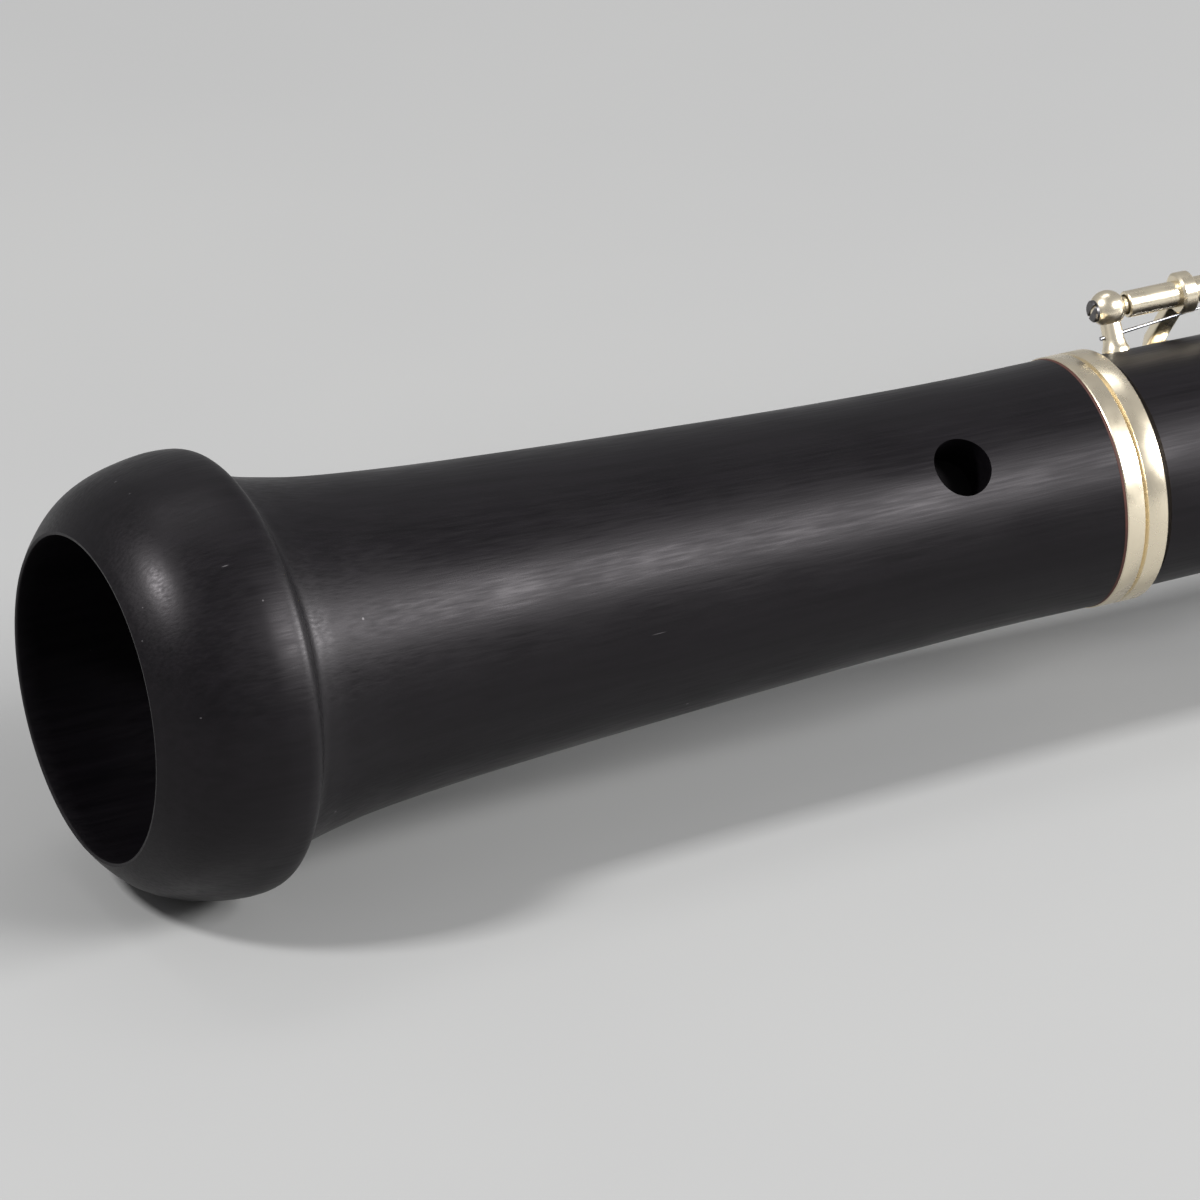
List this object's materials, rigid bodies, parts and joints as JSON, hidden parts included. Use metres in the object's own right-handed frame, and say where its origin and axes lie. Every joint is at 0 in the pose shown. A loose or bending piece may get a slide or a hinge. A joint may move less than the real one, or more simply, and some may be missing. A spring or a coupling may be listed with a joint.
{
  "type": "oboe",
  "caption": "Wooden oboe with bell, two keyed joints in a conical bore, metal rings, sprung keys with pads, and a double reed.",
  "frame": {"origin": "under the middle of the length, at the level of the lowest point of the bell rim", "axes": "+X along the bore from bell to reed, +Z to the front where the fingers play, -Y to the left of the player"},
  "size_m": [0.6592, 0.0566, 0.0566],
  "materials": {
    "black_wood": "satin black hardwood, oiled, fine long grain",
    "silver_keywork": "polished silver plate on nickel silver",
    "cork": "sheet cork, sanded",
    "pad_skin": "skin-covered felt pad",
    "staple_brass": "drawn brass tube",
    "reed_thread": "tight winding of waxed thread",
    "reed_cane": "scraped cane"
  },
  "bodies": {
    "lower_joint": {"lower_joint_body": "black_wood", "lower_tenon_cork": "cork", "lower_socket_ring": "silver_keywork", "low_note_rod": "silver_keywork", "b_flat_lever_rod": "silver_keywork", "low_b_rod": "silver_keywork", "right_hand_rod": "silver_keywork", "e_flat_saddle": "silver_keywork", "thumb_rest": "silver_keywork"},
    "bell": {"bell_body": "black_wood", "bell_socket_ring": "silver_keywork"},
    "upper_joint": {"upper_joint_body": "black_wood", "upper_tenon_cork": "cork", "crown_ring": "silver_keywork", "left_hand_rod": "silver_keywork", "half_hole_rod": "silver_keywork", "g_sharp_rod": "silver_keywork", "trill_rod": "silver_keywork", "side_octave_rod": "silver_keywork", "thumb_octave_saddle": "silver_keywork"},
    "reed": {"reed_staple": "staple_brass", "reed_cork": "cork", "reed_thread": "reed_thread", "reed_blade_front": "reed_cane", "reed_blade_back": "reed_cane"},
    "low_b_flat_key_body": {"low_b_flat_key": "silver_keywork", "low_b_flat_pad": "pad_skin"},
    "low_c_key_body": {"low_c_key": "silver_keywork", "low_c_pad": "pad_skin"},
    "low_b_key_body": {"low_b_key": "silver_keywork", "low_b_pad": "pad_skin"},
    "d_key_body": {"d_key": "silver_keywork", "d_pad": "pad_skin"},
    "e_key_body": {"e_key": "silver_keywork", "e_pad": "pad_skin"},
    "f_sharp_key_body": {"f_sharp_key": "silver_keywork", "f_sharp_pad": "pad_skin"},
    "b_flat_lever_key_body": {"b_flat_lever_key": "silver_keywork"},
    "e_flat_key_body": {"e_flat_key": "silver_keywork", "e_flat_pad": "pad_skin"},
    "g_key_body": {"g_key": "silver_keywork", "g_pad": "pad_skin"},
    "a_key_body": {"a_key": "silver_keywork", "a_pad": "pad_skin"},
    "half_hole_key_body": {"half_hole_key": "silver_keywork", "half_hole_pad": "pad_skin"},
    "g_sharp_key_body": {"g_sharp_key": "silver_keywork", "g_sharp_pad": "pad_skin"},
    "trill_key_body": {"trill_key": "silver_keywork", "trill_pad": "pad_skin"},
    "side_octave_key_body": {"side_octave_key": "silver_keywork", "side_octave_pad": "pad_skin"},
    "thumb_octave_key_body": {"thumb_octave_key": "silver_keywork", "thumb_octave_pad": "pad_skin"}
  },
  "joints": [
    {"name": "bell_pull", "type": "slide", "parent": "lower_joint", "child": "bell", "axis": [-1, 0, 0], "range_m": [0, 0.018]},
    {"name": "upper_joint_pull", "type": "slide", "parent": "lower_joint", "child": "upper_joint", "axis": [1, 0, 0], "range_m": [0, 0.018]},
    {"name": "reed_pull", "type": "slide", "parent": "upper_joint", "child": "reed", "axis": [1, 0, 0], "range_m": [0, 0.021]},
    {"name": "low_b_flat_hinge", "type": "hinge", "parent": "lower_joint", "child": "low_b_flat_key_body", "pos_m": [-0.14194, 0.00917, 0.04712], "axis": [1, 0, 0], "range_deg": [-5.75, 0], "stiffness_Nm_per_rad": 0.03, "springref_deg": 17.19},
    {"name": "low_c_hinge", "type": "hinge", "parent": "lower_joint", "child": "low_c_key_body", "pos_m": [-0.0737, 0.00917, 0.04712], "axis": [1, 0, 0], "range_deg": [-5.91, 0], "stiffness_Nm_per_rad": 0.03, "springref_deg": 17.19},
    {"name": "low_b_hinge", "type": "hinge", "parent": "lower_joint", "child": "low_b_key_body", "pos_m": [-0.0659, -0.01779, 0.03699], "axis": [1, 0, 0], "range_deg": [0, 7.66], "stiffness_Nm_per_rad": 0.03, "springref_deg": -17.19},
    {"name": "d_hinge", "type": "hinge", "parent": "lower_joint", "child": "d_key_body", "pos_m": [-0.02347, 0.01559, 0.0414], "axis": [1, 0, 0], "range_deg": [0, 6.25], "stiffness_Nm_per_rad": 0.03, "springref_deg": -17.19},
    {"name": "e_hinge", "type": "hinge", "parent": "lower_joint", "child": "e_key_body", "pos_m": [0.001, 0.01559, 0.0414], "axis": [1, 0, 0], "range_deg": [0, 6.25], "stiffness_Nm_per_rad": 0.03, "springref_deg": -17.19},
    {"name": "f_sharp_hinge", "type": "hinge", "parent": "lower_joint", "child": "f_sharp_key_body", "pos_m": [0.02577, 0.01559, 0.0414], "axis": [1, 0, 0], "range_deg": [0, 6.25], "stiffness_Nm_per_rad": 0.03, "springref_deg": -17.19},
    {"name": "b_flat_lever_hinge", "type": "hinge", "parent": "lower_joint", "child": "b_flat_lever_key_body", "pos_m": [-0.0369, -0.01205, 0.0449], "axis": [1, 0, 0], "range_deg": [0, 4.4], "stiffness_Nm_per_rad": 0.03, "springref_deg": -17.19},
    {"name": "e_flat_hinge", "type": "hinge", "parent": "lower_joint", "child": "e_flat_key_body", "pos_m": [-0.0671, 0, 0.04653], "axis": [0, -1, 0], "range_deg": [-4.27, 0], "stiffness_Nm_per_rad": 0.03, "springref_deg": 17.19},
    {"name": "g_hinge", "type": "hinge", "parent": "upper_joint", "child": "g_key_body", "pos_m": [0.10162, 0.01347, 0.03962], "axis": [1, 0, 0], "range_deg": [0, 7.23], "stiffness_Nm_per_rad": 0.03, "springref_deg": -17.19},
    {"name": "a_hinge", "type": "hinge", "parent": "upper_joint", "child": "a_key_body", "pos_m": [0.12879, 0.01347, 0.03962], "axis": [1, 0, 0], "range_deg": [0, 7.23], "stiffness_Nm_per_rad": 0.03, "springref_deg": -17.19},
    {"name": "half_hole_hinge", "type": "hinge", "parent": "upper_joint", "child": "half_hole_key_body", "pos_m": [0.1858, 0.01333, 0.0395], "axis": [1, 0, 0], "range_deg": [0, 7.31], "stiffness_Nm_per_rad": 0.03, "springref_deg": -17.19},
    {"name": "g_sharp_hinge", "type": "hinge", "parent": "upper_joint", "child": "g_sharp_key_body", "pos_m": [0.10368, -0.01563, 0.03663], "axis": [1, 0, 0], "range_deg": [0, 8.56], "stiffness_Nm_per_rad": 0.03, "springref_deg": -17.19},
    {"name": "trill_hinge", "type": "hinge", "parent": "upper_joint", "child": "trill_key_body", "pos_m": [0.1453, 0.01773, 0.03209], "axis": [1, 0, 0], "range_deg": [0, 8.36], "stiffness_Nm_per_rad": 0.03, "springref_deg": -17.19},
    {"name": "side_octave_hinge", "type": "hinge", "parent": "upper_joint", "child": "side_octave_key_body", "pos_m": [0.21843, -0.01408, 0.03854], "axis": [1, 0, 0], "range_deg": [-9.09, 0], "stiffness_Nm_per_rad": 0.03, "springref_deg": 17.19},
    {"name": "thumb_octave_hinge", "type": "hinge", "parent": "upper_joint", "child": "thumb_octave_key_body", "pos_m": [0.22068, 0, 0.01152], "axis": [0, 1, 0], "range_deg": [0, 10.82], "stiffness_Nm_per_rad": 0.03, "springref_deg": -17.19}
  ],
  "couplings": [
    {"joint": "b_flat_lever_hinge", "follows": "low_b_flat_hinge", "ratio": -0.76096}
  ]
}
